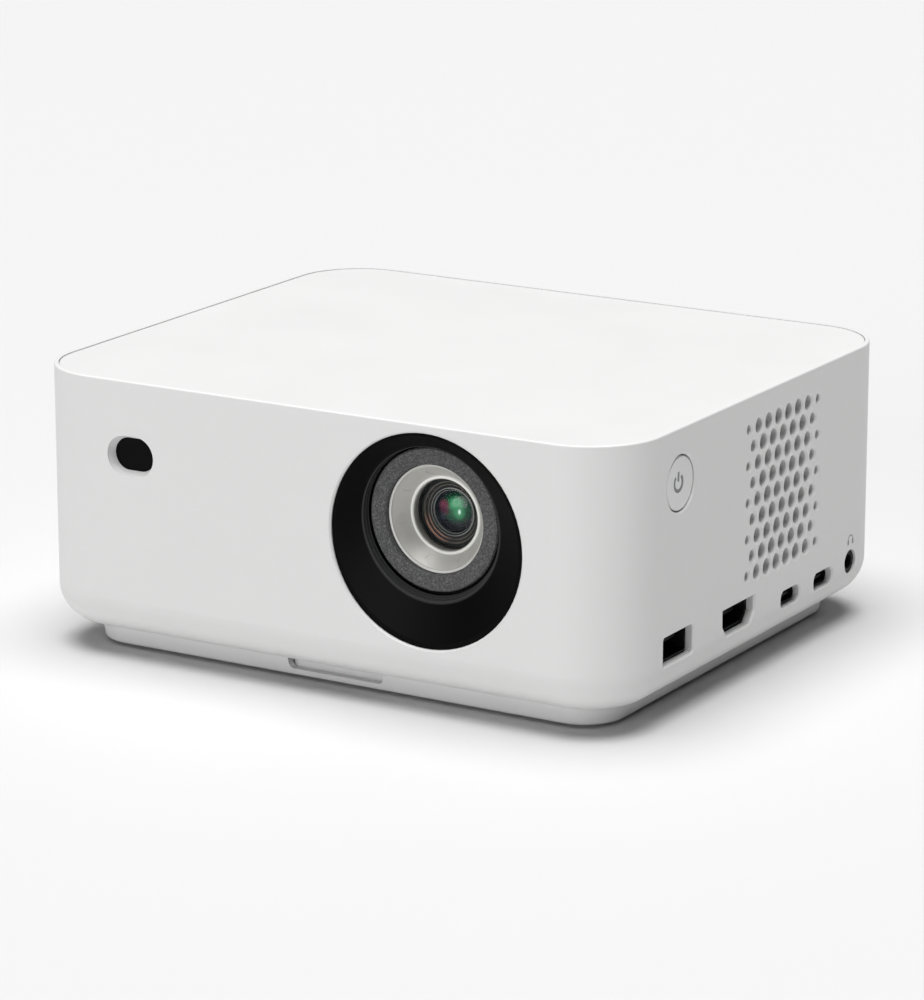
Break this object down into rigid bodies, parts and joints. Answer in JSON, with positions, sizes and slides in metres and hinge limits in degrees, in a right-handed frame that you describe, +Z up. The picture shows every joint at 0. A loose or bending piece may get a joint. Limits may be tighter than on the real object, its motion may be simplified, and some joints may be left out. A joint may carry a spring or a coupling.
{
  "type": "home projector",
  "caption": "Compact home projector: a white rounded box with a round black lens bowl in front, a power button, vents and sockets on its side, and a flip-out foot under a low plinth.",
  "frame": {"origin": "centre of the footprint, on the surface that the rubber feet stand on", "axes": "+X towards the side with the sockets, -Y the way the lens looks, +Z up"},
  "size_m": [0.163, 0.1396, 0.0695],
  "materials": {
    "white_shell": "satin",
    "white_base": "satin",
    "black_gloss": "gloss",
    "textured_grey": "textured",
    "silver_ring": "satin",
    "black_matte": "matte",
    "grey_plastic": "satin",
    "lens_glass": "gloss",
    "smoked_window": "gloss",
    "rubber": "matte",
    "steel": "satin",
    "aluminium": "satin",
    "copper": "satin",
    "brass": "satin",
    "circuit_board": "satin",
    "chip_black": "matte",
    "paper_cone": "matte"
  },
  "bodies": {
    "chassis": {"audio_socket": "black_matte", "base_cover": "white_base", "base_screws": "steel", "board_components": "chip_black", "collimator_lenses": "lens_glass", "dichroic_plates": "lens_glass", "dmd_board": "circuit_board", "dmd_chip": "chip_black", "dmd_heat_sink": "aluminium", "engine_housing": "black_matte", "engine_lid": "black_matte", "engine_screws": "steel", "fan_frame_left": "grey_plastic", "fan_frame_right": "grey_plastic", "fan_screws": "steel", "focus_motor": "steel", "focus_motor_bracket": "steel", "front_lens": "lens_glass", "front_sensors": "black_matte", "hdmi_socket": "steel", "heat_pipes": "copper", "heat_sink_left": "aluminium", "heat_sink_right": "aluminium", "housing_shell": "white_shell", "inner_baffle": "black_matte", "kickstand_pin": "steel", "led_blue": "copper", "led_green": "copper", "led_red": "copper", "lens_barrel": "black_matte", "lens_bowl": "black_gloss", "lens_front_ring": "textured_grey", "lens_retainer": "silver_ring", "main_board": "circuit_board", "power_switch": "black_matte", "power_switch_board": "circuit_board", "prism": "lens_glass", "rear_lens": "lens_glass", "relay_lens": "lens_glass", "rubber_feet": "rubber", "second_lens": "lens_glass", "sensor_board": "circuit_board", "sensor_window": "smoked_window", "small_screws": "steel", "speaker_basket": "steel", "speaker_cone": "paper_cone", "top_cover": "white_shell", "tripod_bush": "brass", "usb_a_socket": "steel", "usb_c_sockets": "steel"},
    "button": {"power_button": "white_shell", "switch_plunger": "black_matte"},
    "stand": {"kickstand": "white_base"},
    "focus_ring": {"focus_gear_ring": "grey_plastic"},
    "lens_cell": {"focus_cell": "black_matte", "focus_lens": "lens_glass"},
    "pinion": {"focus_pinion": "grey_plastic"},
    "fan_right": {"fan_rotor_right": "black_matte"},
    "fan_left": {"fan_rotor_left": "black_matte"}
  },
  "joints": [
    {"name": "button_press", "type": "slide", "parent": "chassis", "child": "button", "axis": [-1, 0, 0], "range_m": [0, 0.0008], "stiffness_N_per_m": 2500, "springref_m": -0.0004},
    {"name": "stand_flip", "type": "hinge", "parent": "chassis", "child": "stand", "pos_m": [0, -0.0315, 0.00235], "axis": [1, 0, 0], "range_deg": [0, 80]},
    {"name": "focus_turn", "type": "hinge", "parent": "chassis", "child": "focus_ring", "pos_m": [0.0305, -0.045, 0.0462], "axis": [0, 1, 0], "range_deg": [-30, 30]},
    {"name": "focus_slide", "type": "slide", "parent": "chassis", "child": "lens_cell", "axis": [0, 1, 0], "range_m": [-0.00151, 0.00151]},
    {"name": "pinion_turn", "type": "hinge", "parent": "chassis", "child": "pinion", "pos_m": [0.01043, -0.045, 0.03215], "axis": [0, 1, 0], "range_deg": [-120.5, 120.5]},
    {"name": "fan_right_spin", "type": "hinge", "parent": "chassis", "child": "fan_right", "pos_m": [0.0718, 0.0101, 0.0438], "axis": [1, 0, 0], "continuous": true},
    {"name": "fan_left_spin", "type": "hinge", "parent": "chassis", "child": "fan_left", "pos_m": [-0.0718, 0.0101, 0.0438], "axis": [-1, 0, 0], "continuous": true}
  ],
  "couplings": [
    {"joint": "focus_slide", "follows": "focus_turn", "m_per_rad": 0.0028648},
    {"joint": "pinion_turn", "follows": "focus_turn", "ratio": -4}
  ]
}
